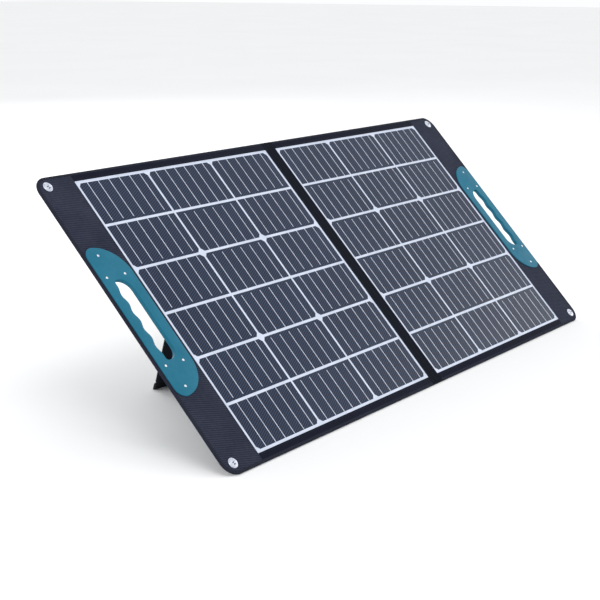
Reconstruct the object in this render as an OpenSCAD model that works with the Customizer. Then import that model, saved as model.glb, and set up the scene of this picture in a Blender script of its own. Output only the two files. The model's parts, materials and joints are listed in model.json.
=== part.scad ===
// Two-fold portable solar panel: two laminated halves in a fabric cover, a carrying handle on each wing,
// snap fasteners at the corners, and a kickstand behind each half. It stands unfolded on its kickstands.
// Every "half" module draws the right half (x > 0) in the panel frame: x across, y up the slope from the
// bottom edge, z out of the front face. z = 0 is the front face of the laminate.

/* [Cells] */
// Width of one half-cut cell
cell_w = 166; // [150:1:182]
// Height of one half-cut cell
cell_h = 83; // [75:1:91]
// White gap between cells, and border round them
cell_gap = 5; // [3:0.5:7]
// Corner cut of a full cell, which only its outer corners have
cell_chamfer = 6; // [4:0.5:12]
// Number of ribbons on a cell
ribbons = 6; // [4:1:9]

/* [Panel] */
// Height of the panel along its slope
panel_h = 567; // [560:1:600]
// Width of the fold between the laminates
spine_w = 33; // [30:1:50]
// Width of the fabric wing beside each laminate
wing_w = 84.5; // [84:0.5:100]
// Radius of the panel's outer corners
corner_r = 27; // [15:1:40]

/* [Handle] */
// Thickness of the front handle plate
handle_t = 2.25; // [1.5:0.05:3]
// Half length of the handle plate
handle_half = 141.4; // [135:0.2:150]
// Number of finger scallops in the grip
scallops = 4; // [4:1:4]

/* [Stand] */
// Angle of the panel above the ground
tilt = 46.7; // [42:0.1:55]
// Angle between a kickstand and the panel when it stands
leg_angle = 59.1; // [56:0.1:62]
// Distance from the bottom edge up the slope to the kickstand's hinge
leg_hinge_y = 444; // [430:1:450]
// Width of a kickstand
leg_w = 102; // [80:1:110]

/* [Hidden] */
$fn = 64;
SIDES = ["left", "right"];
HALF_PARTS = ["front_sheet", "cells", "ribbons", "string_links", "backsheet", "front_strips", "core_board",
    "back_cover", "wing_front", "wing_board", "wing_back", "edge_binding", "handle_front", "handle_back",
    "handle_rivets", "leg_hinge_flap", "leg_strap", "leg_board", "leg_cover", "leg_foot"];

columns = 3;
rows = 6;
seam = 0.2;                            // gap between pieces that are sewn edge to edge

front_t = 1.4;                         // fabric and laminate in front of the core board
core_t = 1.2;
back_t = 0.8;
panel_t = front_t + core_t + back_t;
back_z = -panel_t;                     // rear face of the panel
film_t = 0.25;
ribbon_t = 0.15;
cell_t = 0.2;
backsheet_t = front_t - film_t - ribbon_t - cell_t;
ribbon_w = 1.3;
ribbon_pitch = 25.65;
ribbon_short = 4.5;                    // a ribbon ends this far short of the cell's open end
ribbon_offset = 2;                     // a rising cell's ribbons lie this far off its middle, to the right

pitch_x = cell_w + cell_gap;
pitch_y = cell_h + cell_gap;
pv_w = columns * pitch_x + cell_gap;
pv_h = rows * pitch_y + cell_gap;
pv_x = spine_w / 2;                    // inner edge of the laminate
pv_y = (panel_h - pv_h) / 2;           // lower edge of the laminate
wing_x = pv_x + pv_w;                  // where the wing begins
edge_x = wing_x + wing_w;              // outer edge of the panel
mid_y = panel_h / 2;
binding_t = 1.2;
fold_z = 2.7;                          // height of the fold's axis above the laminate

handle_x0 = wing_x + 6.2;              // inner side of the handle plate
handle_x1 = edge_x - 4.6;              // outer side
handle_r_in = 58;
handle_r_out = 19;
handle_back_t = 1.6;
collar_t = 1.6;                        // wall of the collar through the slot
slot_x0 = handle_x0 + 21;
slot_x1 = slot_x0 + 29.5;              // root of the scallops
slot_half = 76.5;
slot_r_in = 22;
slot_r_out = 5;
scallop_pitch = 32.5;
scallop_depth = 4;
scallop_r = (pow(scallop_pitch / 2, 2) + pow(scallop_depth, 2)) / (2 * scallop_depth);
rivet_head_r = 2.5;
rivet_shank_r = 1.5;
rivet_proud = 0.3;
rivet_sink = 0.5;
rivet_x_mid = handle_x0 + 49;
rivet_points = [for (s = [-1, 1]) each [
    [handle_x1 - 13, mid_y + s * 84],
    [handle_x0 + 19.3, mid_y + s * 84],
    [rivet_x_mid, mid_y + s * 125]]];

snap_x = edge_x - 23;
snap_y = 19.2;
snap_r = 9;
snap_points = [[snap_x, snap_y], [snap_x, panel_h - snap_y]];
snap_base_t = 0.8;
snap_post_r = 2;
snap_cap_r = 7;
snap_cap_t = 0.9;
socket_hole_r = 5.2;
stud_r = 4.7;
stud_hole_r = 2.2;
stud_z = 3.9;

leg_x = pv_x + pv_w / 2;               // centre line of each kickstand
leg_t = 3;
leg_skin = 0.3;
leg_axis_z = back_z - 0.1 - leg_t / 2;
leg_start = 3;                         // the kickstand begins this far from its axis
knuckle_r = 1.3;
foot_len = 14;
foot_t = 5;
flap_len = 30;
flap_t = 1;
lift = panel_t * cos(tilt);            // puts the rear bottom edge on the ground
leg_axis_h = lift + leg_hinge_y * sin(tilt) + leg_axis_z * cos(tilt);
leg_reach = leg_axis_h / sin(leg_angle + tilt);   // from the axis to the ground, along the kickstand
leg_len = leg_reach - foot_len;
leg_foot_y = leg_hinge_y * cos(tilt) - leg_axis_z * sin(tilt) - leg_reach * cos(leg_angle + tilt);
foot_back = (foot_t - leg_t / 2) / sin(leg_angle + tilt);
depth = leg_foot_y + foot_back;        // from the front bottom edge to the back of the soles
strap_w = 25;
strap_t = 1.2;
strap_leg_s = 215;                     // where the strap meets the kickstand
strap_panel_s = 225;                   // where it meets the panel, below the hinge
strap_clear = 0.4;
strap_tab = 28;

lead_w = 9;
lead_t = 0.8;
lead_y = [270, 297];

box_w = 84;
box_h = 56;
box_d = 14;
box_x = 438;
box_y = 358;
box_wall = 2;
box_lid_t = 3;
box_post_r = 3.4;
box_screw_r = 1.25;
box_y0 = box_y - box_h / 2;            // the face with the sockets
port_z = back_z - 8;
usb_w = 13.2;
usb_h = 5.8;
usb_x = [-24, -6];
usb_depth = 14;
usb_wall = 0.6;
dc_x = 20;
dc_r = 5;
dc_bore_r = 4;
dc_depth = 12;
cover_t = 2;
cover_x0 = box_x - 36;
cover_w = 42;
cover_gap = 0.4;
cover_axis_z = back_z - box_d - 1.6;
cover_knuckle_r = 1.1;
pocket_x0 = 345;
pocket_w = 180;
pocket_y0 = 70;
pocket_h = 230;
pocket_t = 1.8;
zip_w = 6;
zip_t = 1.4;
slider_travel = 150;

dark = [0.14, 0.15, 0.19];
charcoal = [0.22, 0.23, 0.28];
teal = [0.2, 0.5, 0.6];
white = [0.86, 0.87, 0.95];
silicon = [0.24, 0.26, 0.34];
metal = [0.8, 0.81, 0.85];

// ---- placing ----

// From the panel frame to the standing panel, centred on the ground.
module stand() {
    translate([0, -depth / 2, lift]) rotate([tilt, 0, 0]) children();
}

// The same half drawn on its own side of the fold.
module on_side(side) {
    if (side == "left") mirror([1, 0, 0]) children();
    else children();
}

// From the kickstand's own frame to the panel frame: its axis at the origin, its length along -y, its
// panel side towards +z, folded flat.
module on_leg() {
    translate([leg_x, leg_hinge_y, leg_axis_z]) rotate([leg_angle, 0, 0]) children();
}

module slab(x0, x1, y0, y1, z0, z1) {
    translate([x0, y0, z0]) cube([x1 - x0, y1 - y0, z1 - z0]);
}

// ---- outlines of the cover ----

// The half's outline from x0 outwards, taken in by inset from the outer edges, with its round corners.
module half_outline(x0, inset) {
    r = corner_r - inset;
    x1 = edge_x - inset;
    union() {
        translate([x0, inset]) square([x1 - r - x0, panel_h - 2 * inset]);
        translate([x0, inset + r]) square([x1 - x0, panel_h - 2 * (inset + r)]);
        for (y = [inset + r, panel_h - inset - r]) translate([x1 - r, y]) circle(r);
    }
}

// The wing's outline, inside the binding.
module wing_outline() {
    half_outline(wing_x + seam, binding_t);
}

// The finger slot, grown by grow: large corners towards the laminate, scallops on the outer side.
module slot_cutter(z0, z1, grow = 0) {
    x0 = slot_x0;
    x1 = slot_x1;
    translate([0, 0, z0]) linear_extrude(z1 - z0) union() {
        translate([x0 - grow, mid_y - slot_half + slot_r_in])
            square([x1 - x0 + 2 * grow, 2 * (slot_half - slot_r_in)]);
        translate([x0 + slot_r_in, mid_y - slot_half - grow])
            square([x1 - x0 - slot_r_in - slot_r_out, 2 * (slot_half + grow)]);
        translate([x0 + slot_r_in, mid_y - slot_half + slot_r_out])
            square([x1 - x0 - slot_r_in + grow, 2 * (slot_half - slot_r_out)]);
        for (s = [-1, 1]) {
            translate([x0 + slot_r_in, mid_y + s * (slot_half - slot_r_in)]) circle(slot_r_in + grow);
            translate([x1 - slot_r_out, mid_y + s * (slot_half - slot_r_out)]) circle(slot_r_out + grow);
        }
    }
    for (k = [0 : scallops - 1]) {
        y = mid_y + (k - (scallops - 1) / 2) * scallop_pitch;
        intersection() {
            translate([x1 + scallop_depth - scallop_r, y, z0]) cylinder(r = scallop_r + grow, h = z1 - z0);
            slab(x1 - 1, x1 + scallop_depth + grow + 1, y - scallop_pitch, y + scallop_pitch, z0, z1);
        }
    }
}

module rivet_holes(z0, z1) {
    for (p = rivet_points) translate([p[0], p[1], z0]) cylinder(r = rivet_shank_r + 0.05, h = z1 - z0);
}

module snap_holes(z0, z1) {
    for (p = snap_points) translate([p[0], p[1], z0]) cylinder(r = snap_post_r + 0.05, h = z1 - z0);
}

// ---- laminate ----

// One cell. The full cell is cut in two, so only the corners away from the cut are chamfered: the upper ones
// on the upper half (up = true), the lower ones on the lower half.
module cell(up) {
    c = cell_chamfer;
    points = up
        ? [[0, 0], [cell_w, 0], [cell_w, cell_h - c], [cell_w - c, cell_h], [c, cell_h], [0, cell_h - c]]
        : [[0, c], [c, 0], [cell_w - c, 0], [cell_w, c], [cell_w, cell_h], [0, cell_h]];
    linear_extrude(cell_t) polygon(points);
}

function cell_x(column) = pv_x + cell_gap + column * pitch_x;
function cell_y(row) = pv_y + cell_gap + row * pitch_y;

module half_cells() {
    color(silicon) for (column = [0 : columns - 1], row = [0 : rows - 1])
        translate([cell_x(column), cell_y(row), -film_t - ribbon_t - cell_t]) cell(row % 2 == 1);
}

// A string's ribbons run over one end of each cell, and stop short of its other end. Rising strings run over
// the top, falling ones over the bottom, and the first and last cells run on to the border. The strings
// alternate across both halves, so the left half rises where the right one falls.
module half_ribbons(side) {
    color(metal) for (column = [0 : columns - 1], row = [0 : rows - 1]) {
        rising = (column % 2 == 1) == (side == "right");
        at_top = row == rows - 1;
        at_bottom = row == 0;
        low = rising && !at_bottom ? ribbon_short : 0;
        high = !rising && !at_top ? ribbon_short : 0;
        shift = rising ? (side == "right" ? ribbon_offset : -ribbon_offset) : 0;
        side_margin = (cell_w - (ribbons - 1) * ribbon_pitch) / 2 + shift;
        for (k = [0 : ribbons - 1])
            translate([cell_x(column) + side_margin + k * ribbon_pitch - ribbon_w / 2,
                       cell_y(row) + low, -film_t - ribbon_t])
                cube([ribbon_w, cell_h - low - high, ribbon_t]);
    }
}

// The strips that join the strings, in grooves behind the backsheet, under its top and bottom borders.
link_w = 3;
link_t = 0.3;
link_spans = [[0, 1, false], [1, 2, true], [0, 0, true], [2, 2, false]];
module half_links(grow = 0) {
    for (span = link_spans) {
        x0 = cell_x(span[0]) + cell_gap;
        x1 = cell_x(span[1]) + cell_w - cell_gap;
        y = span[2] ? pv_y + pv_h - cell_gap / 2 : pv_y + cell_gap / 2;
        slab(x0 - grow, x1 + grow, y - link_w / 2 - grow, y + link_w / 2 + grow, -front_t, -front_t + link_t + grow);
    }
}

module half_string_links() {
    color("goldenrod") half_links();
}

module half_backsheet() {
    color(white) difference() {
        slab(pv_x, wing_x, pv_y, pv_y + pv_h, -front_t, -front_t + backsheet_t);
        half_links(0.05);
    }
}

module half_front_sheet() {
    color([0.8, 0.85, 0.9, 0.3]) slab(pv_x, wing_x, pv_y, pv_y + pv_h, -film_t, 0);
}

// ---- cover ----

module half_front_strips() {
    color(dark) for (y = [binding_t, panel_h - pv_y])
        slab(pv_x, wing_x, y, y + pv_y - binding_t, -front_t, 0);
}

module half_core_board() {
    color("burlywood") slab(pv_x, wing_x, binding_t, panel_h - binding_t, -front_t - core_t, -front_t);
}

module half_back_cover() {
    color(dark) slab(pv_x, wing_x, binding_t, panel_h - binding_t, back_z, back_z + back_t);
}

module wing_layer(z0, z1) {
    difference() {
        translate([0, 0, z0]) linear_extrude(z1 - z0) wing_outline();
        slot_cutter(z0 - 1, z1 + 1, collar_t);
        rivet_holes(z0 - 1, z1 + 1);
        snap_holes(z0 - 1, z1 + 1);
    }
}

module half_wing_front() {
    color(charcoal) wing_layer(-front_t, 0);
}

module half_wing_board() {
    color("burlywood") wing_layer(-front_t - core_t, -front_t);
}

module half_wing_back() {
    color(charcoal) wing_layer(back_z, back_z + back_t);
}

// The tape that closes the layers' edges: straight runs along the bottom, the side and the top, and the
// two corners between them.
module half_edge_binding() {
    r = corner_r;
    color(dark) {
        for (y = [0, panel_h - binding_t]) slab(pv_x, edge_x - r - seam, y, y + binding_t, back_z, 0);
        slab(edge_x - binding_t, edge_x, r + seam, panel_h - r - seam, back_z, 0);
        for (top = [0, 1])
            translate([edge_x - r, top ? panel_h - r : r, back_z]) rotate([0, 0, top ? 0 : -90])
                difference() {
                    intersection() {
                        cylinder(r = r, h = panel_t);
                        cube([r, r, panel_t]);
                    }
                    translate([0, 0, -1]) cylinder(r = r - binding_t, h = panel_t + 2);
                }
    }
}

// ---- handle ----

// Both plates share this outline: small corners outside, large ones towards the laminate.
module handle_plate(z0, z1, slot_grow) {
    difference() {
        intersection() {
            rounded_end(handle_x0, handle_x1, handle_r_out, true, z0, z1);
            rounded_end(handle_x0, handle_x1, handle_r_in, false, z0, z1);
        }
        slot_cutter(z0 - 1, z1 + 1, slot_grow);
        rivet_holes(z0 - 1, z1 + 1);
    }
}

// A plate of the handle's size with two corners of radius r, outside or inside.
module rounded_end(x0, x1, r, outside, z0, z1) {
    h = handle_half;
    cx = outside ? x1 - r : x0 + r;
    translate([0, 0, z0]) linear_extrude(z1 - z0) union() {
        translate([x0, mid_y - h + r]) square([x1 - x0, 2 * (h - r)]);
        translate([outside ? x0 : cx, mid_y - h]) square([outside ? cx - x0 : x1 - cx, 2 * h]);
        for (s = [-1, 1]) translate([cx, mid_y + s * (h - r)]) circle(r, $fn = 96);
    }
}

// The front plate has a collar that lines the slot right through to the back.
module half_handle_front() {
    color(teal) union() {
        difference() {
            handle_plate(0, handle_t, 0);
            for (p = rivet_points)
                translate([p[0], p[1], handle_t - rivet_sink]) cylinder(r = rivet_head_r + 0.05, h = 1);
        }
        difference() {
            slot_cutter(back_z - handle_back_t, 0, collar_t);
            slot_cutter(back_z - handle_back_t - 1, 1);
        }
    }
}

module half_handle_back() {
    color(teal) handle_plate(back_z - handle_back_t, back_z, collar_t);
}

module half_handle_rivets() {
    color(metal) for (p = rivet_points) translate([p[0], p[1], 0]) {
        translate([0, 0, handle_t - rivet_sink]) cylinder(r = rivet_head_r, h = rivet_sink + rivet_proud);
        translate([0, 0, back_z - handle_back_t])
            cylinder(r = rivet_shank_r, h = panel_t + handle_back_t + handle_t - rivet_sink);
        translate([0, 0, back_z - handle_back_t - 0.6]) cylinder(r = rivet_head_r, h = 0.6);
    }
}

// ---- corner snaps ----

// What both kinds share: the base, the post through the wing and the cap behind it.
module snap_body() {
    cylinder(r = snap_r, h = snap_base_t);
    translate([0, 0, back_z - snap_cap_t]) cylinder(r = snap_post_r, h = panel_t + snap_cap_t);
    translate([0, 0, back_z - snap_cap_t]) cylinder(r = snap_cap_r, h = snap_cap_t);
}

module ring(r_out, r_in, h) {
    difference() {
        cylinder(r = r_out, h = h);
        translate([0, 0, -1]) cylinder(r = r_in, h = h + 2);
    }
}

module half_snap_sockets() {
    color(metal) for (p = snap_points) translate([p[0], p[1], 0]) union() {
        snap_body();
        ring(snap_r, snap_r - 1.4, 1.3);
        ring(socket_hole_r + 1.9, socket_hole_r, handle_t);
    }
}

module half_snap_studs() {
    color(metal) for (p = snap_points) translate([p[0], p[1], 0]) union() {
        snap_body();
        ring(snap_r, snap_r - 1.4, 1.3);
        ring(stud_r, stud_hole_r, stud_z);
    }
}

// ---- fold ----

module spine_fabric() {
    color(dark) difference() {
        slab(-pv_x + seam, pv_x - seam, 0, panel_h, back_z, 0);
        for (y = lead_y)
            slab(-pv_x, pv_x, y - seam, y + lead_w + seam, -front_t - lead_t - seam, -front_t + seam);
    }
}

module bridge_leads() {
    color("firebrick") for (y = lead_y)
        slab(-pv_x + seam, pv_x - seam, y, y + lead_w, -front_t - lead_t, -front_t);
}

// ---- kickstand ----

module half_leg_hinge_flap() {
    color(dark) translate([leg_x, 0, 0]) union() {
        slab(-leg_w / 2, leg_w / 2, leg_hinge_y, leg_hinge_y + flap_len, back_z - flap_t, back_z);
        translate([-leg_w / 2, leg_hinge_y, leg_axis_z]) rotate([0, 90, 0]) cylinder(r = knuckle_r, h = leg_w);
        slab(-leg_w / 2, leg_w / 2, leg_hinge_y, leg_hinge_y + knuckle_r, leg_axis_z, back_z);
    }
}

module leg_core(grow) {
    slab(-leg_w / 2 + 3 - grow, leg_w / 2 - 3 + grow, -leg_len + 3 - grow, -leg_start - 3 + grow,
         -leg_t / 2 + leg_skin, leg_t / 2 - leg_skin);
}

module half_leg_board() {
    color("burlywood") on_leg() leg_core(0);
}

module half_leg_cover() {
    color(dark) on_leg() difference() {
        slab(-leg_w / 2, leg_w / 2, -leg_len, -leg_start, -leg_t / 2, leg_t / 2);
        leg_core(0);
    }
}

// The rubber foot, flush with the inner face and thicker outside. Its sole is cut level with the ground.
module half_leg_foot() {
    inner = leg_t / 2;
    outer = inner - foot_t;
    sole = function (z) -leg_reach - z / tan(leg_angle + tilt);
    color("black") on_leg() translate([-leg_w / 2, 0, 0]) rotate([90, 0, 90]) linear_extrude(leg_w)
        polygon([[-leg_len, -inner], [-leg_len, inner], [sole(inner), inner], [sole(outer), outer],
                 [-leg_len - 4, outer]]);
}

// The webbing that stops the kickstand, in profile: a tab sewn to the panel, and a straight run that ends
// just short of the kickstand's inner face.
module half_leg_strap() {
    start_y = leg_hinge_y - strap_panel_s;
    inner = leg_t / 2 + strap_clear;
    end = [leg_hinge_y - strap_leg_s * cos(leg_angle) - inner * sin(leg_angle),
           leg_axis_z - strap_leg_s * sin(leg_angle) + inner * cos(leg_angle)];
    run = end - [start_y, back_z];
    across = [run[1], -run[0]] * strap_t / norm(run);
    color("dimgray") translate([leg_x - strap_w / 2, 0, 0]) rotate([90, 0, 90]) linear_extrude(strap_w)
        polygon([[start_y - strap_tab, back_z - strap_t], [start_y - strap_tab, back_z],
                 [start_y + strap_t, back_z], end, end + across, [start_y, back_z - strap_t]]);
}

// ---- junction box, drawn on the right and placed on the left half ----

module box_shell(z0, z1) {
    slab(box_x - box_w / 2, box_x + box_w / 2, box_y0, box_y0 + box_h, z0, z1);
}

module box_posts(r, z0, z1) {
    for (sx = [-1, 1], sy = [-1, 1])
        translate([box_x + sx * (box_w / 2 - 5), box_y + sy * (box_h / 2 - 5), z0]) cylinder(r = r, h = z1 - z0);
}

module usb_block(grow, y0, y1) {
    for (x = usb_x)
        slab(box_x + x - usb_w / 2 - grow, box_x + x + usb_w / 2 + grow, y0, y1,
             port_z - usb_h / 2 - grow, port_z + usb_h / 2 + grow);
}

module dc_barrel(r, y0, y1) {
    translate([box_x + dc_x, y0, port_z]) rotate([-90, 0, 0]) cylinder(r = r, h = y1 - y0);
}

module junction_box_base() {
    z1 = back_z;
    z0 = back_z - box_d;
    color("black") difference() {
        union() {
            difference() {
                box_shell(z0, z1);
                slab(box_x - box_w / 2 + box_wall, box_x + box_w / 2 - box_wall, box_y0 + box_wall,
                     box_y0 + box_h - box_wall, z0 - 1, z1 - box_wall);
            }
            box_posts(box_post_r, z0, z1 - 1);
        }
        box_posts(box_screw_r, z0 - 1, z0 + 7);
        usb_block(0.1, box_y0 - 1, box_y0 + box_wall + 1);
        dc_barrel(dc_r + 0.1, box_y0 - 1, box_y0 + box_wall + 1);
    }
}

module junction_box_cover() {
    z1 = back_z - box_d;
    color("black") difference() {
        box_shell(z1 - box_lid_t, z1);
        box_posts(box_screw_r + 0.2, z1 - box_lid_t - 1, z1 + 1);
        box_posts(2.6, z1 - box_lid_t - 1, z1 - box_lid_t + 1.4);
        translate([box_x, box_y + 14, z1 - box_lid_t - 1]) cylinder(r = 2, h = box_lid_t + 2);
    }
}

module junction_box_screws() {
    z1 = back_z - box_d;
    color(metal) {
        difference() {
            box_posts(2.4, z1 - box_lid_t, z1 - box_lid_t + 1.3);
            box_posts(1, z1 - box_lid_t - 1, z1 - box_lid_t + 0.7);
        }
        box_posts(box_screw_r - 0.1, z1 - box_lid_t + 1.3, z1 + 6);
    }
}

module junction_box_circuit() {
    z = port_z + usb_h / 2 + 0.2;
    color("green") union() {
        slab(box_x - 30, box_x + 32, box_y0 + dc_depth + 1, box_y0 + box_h - 8, z, z + 1.2);
        for (x = [-20, 0]) slab(box_x + x, box_x + x + 12, box_y - 2, box_y + 10, z - 4, z + 0.5);
    }
}

module usb_sockets() {
    color(metal) difference() {
        usb_block(0, box_y0 + 0.3, box_y0 + usb_depth);
        difference() {
            usb_block(-usb_wall, box_y0 - 1, box_y0 + usb_depth - 1);
            for (x = usb_x)
                slab(box_x + x - 5, box_x + x + 5, box_y0 + 1.5, box_y0 + usb_depth, port_z - 1.6, port_z + 0.3);
        }
    }
}

module dc_socket() {
    color("dimgray") difference() {
        dc_barrel(dc_r, box_y0 + 0.3, box_y0 + dc_depth);
        dc_barrel(dc_bore_r, box_y0 - 1, box_y0 + dc_depth - 1.5);
    }
}

module status_lamp() {
    z1 = back_z - box_d;
    color("green") translate([box_x, box_y + 14, z1 - box_lid_t - 0.4]) cylinder(r = 1.9, h = box_lid_t);
}

// A rubber flap over the USB sockets, hung at the box's outer edge.
module port_cover() {
    y1 = box_y0 - cover_gap;
    color("black") union() {
        slab(cover_x0, cover_x0 + cover_w, y1 - cover_t, y1, cover_axis_z, port_z + 4.5);
        translate([cover_x0, y1 - cover_t / 2, cover_axis_z]) rotate([0, 90, 0])
            cylinder(r = cover_knuckle_r, h = cover_w);
        slab(cover_x0 + 14, cover_x0 + cover_w - 14, y1 - cover_t - 1.5, y1 - cover_t,
             port_z + 2, port_z + 4.5);
    }
}

// ---- pocket, on the right half ----

module pocket() {
    color(charcoal) slab(pocket_x0, pocket_x0 + pocket_w, pocket_y0, pocket_y0 + pocket_h, back_z - pocket_t, back_z);
}

module zip_chain() {
    y = pocket_y0 + pocket_h + seam;
    color("black") slab(pocket_x0, pocket_x0 + pocket_w, y, y + zip_w, back_z - zip_t, back_z);
}

module zip_slider() {
    y = pocket_y0 + pocket_h + seam + zip_w / 2;
    z = back_z - pocket_t - 0.3;
    color(metal) translate([pocket_x0 + 8, y, z]) union() {
        slab(-4.5, 4.5, -4, 4, -1.2, 0);
        slab(-1, 1, -3, 3, -2.4, -1.2);
        slab(-3, 3, -24, -2, -2.4, -1.6);
    }
}

// ---- the nodes ----

module half_part(side, part) {
    if (part == "front_sheet") half_front_sheet();
    if (part == "cells") half_cells();
    if (part == "ribbons") half_ribbons(side);
    if (part == "string_links") half_string_links();
    if (part == "backsheet") half_backsheet();
    if (part == "front_strips") half_front_strips();
    if (part == "core_board") half_core_board();
    if (part == "back_cover") half_back_cover();
    if (part == "wing_front") half_wing_front();
    if (part == "wing_board") half_wing_board();
    if (part == "wing_back") half_wing_back();
    if (part == "edge_binding") half_edge_binding();
    if (part == "handle_front") half_handle_front();
    if (part == "handle_back") half_handle_back();
    if (part == "handle_rivets") half_handle_rivets();
    if (part == "leg_hinge_flap") half_leg_hinge_flap();
    if (part == "leg_strap") half_leg_strap();
    if (part == "leg_board") half_leg_board();
    if (part == "leg_cover") half_leg_cover();
    if (part == "leg_foot") half_leg_foot();
}

for (side = SIDES, part = HALF_PARTS)
    stand() on_side(side) half_part(side, part);
stand() on_side("left") half_snap_sockets();  // left_snap_sockets
stand() half_snap_studs();  // right_snap_studs
stand() spine_fabric();
stand() bridge_leads();
stand() on_side("left") junction_box_base();
stand() on_side("left") junction_box_cover();
stand() on_side("left") junction_box_screws();
stand() on_side("left") junction_box_circuit();
stand() on_side("left") usb_sockets();
stand() on_side("left") dc_socket();
stand() on_side("left") status_lamp();
stand() on_side("left") port_cover();
stand() pocket();
stand() zip_chain();
stand() zip_slider();
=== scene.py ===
import json
import math

import bmesh
import bpy
from mathutils import Matrix, Vector


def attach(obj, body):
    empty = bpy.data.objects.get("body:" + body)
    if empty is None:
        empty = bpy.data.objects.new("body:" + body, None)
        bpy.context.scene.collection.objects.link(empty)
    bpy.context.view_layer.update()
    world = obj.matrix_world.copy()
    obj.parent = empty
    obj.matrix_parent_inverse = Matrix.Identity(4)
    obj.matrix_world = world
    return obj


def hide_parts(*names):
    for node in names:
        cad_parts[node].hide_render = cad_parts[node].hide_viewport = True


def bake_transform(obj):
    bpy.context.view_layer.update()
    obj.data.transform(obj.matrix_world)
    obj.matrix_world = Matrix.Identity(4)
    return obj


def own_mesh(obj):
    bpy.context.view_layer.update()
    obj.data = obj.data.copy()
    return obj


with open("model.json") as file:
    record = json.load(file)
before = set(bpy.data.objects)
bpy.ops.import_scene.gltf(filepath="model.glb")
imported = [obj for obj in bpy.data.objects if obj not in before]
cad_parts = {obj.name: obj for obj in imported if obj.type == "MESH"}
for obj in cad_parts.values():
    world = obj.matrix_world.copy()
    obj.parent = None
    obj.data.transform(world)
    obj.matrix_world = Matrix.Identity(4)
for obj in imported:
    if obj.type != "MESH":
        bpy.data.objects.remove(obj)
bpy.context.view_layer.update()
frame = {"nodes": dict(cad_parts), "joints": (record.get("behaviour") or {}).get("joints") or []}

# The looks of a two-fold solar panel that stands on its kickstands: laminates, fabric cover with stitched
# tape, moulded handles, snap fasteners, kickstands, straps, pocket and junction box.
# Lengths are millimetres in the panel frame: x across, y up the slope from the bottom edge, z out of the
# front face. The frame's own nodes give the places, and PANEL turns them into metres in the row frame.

MM = 0.001
NODES = frame["nodes"]
JOINTS = {j["name"]: j for j in frame["joints"]}
SIDES = (("left", -1), ("right", 1))


# ---- the panel frame ----

def axes_matrix(x, y, z, origin):
    """The matrix whose axes are x, y and z, in millimetres, at an origin in metres."""
    rows = [[x[i] * MM, y[i] * MM, z[i] * MM, origin[i]] for i in range(3)]
    return Matrix(rows + [[0, 0, 0, 1]])


def reach(node, direction):
    values = [direction.dot(v.co) for v in NODES[node].data.vertices]
    return min(values), max(values)


ACROSS = Vector((1, 0, 0))
SLOPE = -Vector(JOINTS["fold"]["axis"]).normalized()
FRONT = ACROSS.cross(SLOPE)
TILT = math.atan2(SLOPE.z, SLOPE.y)
ORIGIN = SLOPE * reach("left_edge_binding", SLOPE)[0] + FRONT * reach("left_edge_binding", FRONT)[1]
PANEL = axes_matrix(ACROSS, SLOPE, FRONT, ORIGIN)


def local_box(node, matrix=PANEL):
    """A node's lowest and highest corners in a frame, in millimetres."""
    inverse = matrix.inverted()
    points = [inverse @ v.co for v in NODES[node].data.vertices]
    return [Vector([pick(p[i] for p in points) for i in range(3)]) for pick in (min, max)]


def leg_matrix(side):
    """A kickstand's frame: its hinge at the origin, its length along -y, its panel side towards +z."""
    hinge = Vector(JOINTS[f"{side}_leg_swing"]["pos_m"])
    points = [v.co for v in NODES[f"{side}_leg_cover"].data.vertices]
    middle = sum(points, Vector()) / len(points)
    up = Vector((0, hinge.y - middle.y, hinge.z - middle.z)).normalized()
    return axes_matrix(ACROSS, up, ACROSS.cross(up), hinge)


LEG = {side: leg_matrix(side) for side, sign in SIDES}
LOW, HIGH = local_box("right_edge_binding")
HEIGHT = HIGH.y                        # of the panel, along its slope
EDGE_X = HIGH.x
BACK_Z = LOW.z
PV_LOW, PV_HIGH = local_box("right_backsheet")
WING_X = PV_HIGH.x
PV_X = PV_LOW.x
MID_Y = HEIGHT / 2
CORNER_R = 27.0
HANDLE_LOW, HANDLE_HIGH = local_box("right_handle_front")
HANDLE_T = HANDLE_HIGH.z
HANDLE_BACK = local_box("right_handle_back")[0].z
HANDLE_R_OUT, HANDLE_R_IN = 19.0, 58.0
SLOT_X0 = HANDLE_LOW.x + 21
SLOT_W = 29.5
SLOT_HALF = 76.5
SLOT_R_IN, SLOT_R_OUT = 22.0, 5.0
SCALLOPS, SCALLOP_PITCH, SCALLOP_DEPTH = 4, 32.5, 4.0
COLLAR_T = 1.6


# ---- materials ----

TO_PANEL = (-TILT, 0, 0)               # turns object coordinates into the panel's directions


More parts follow.
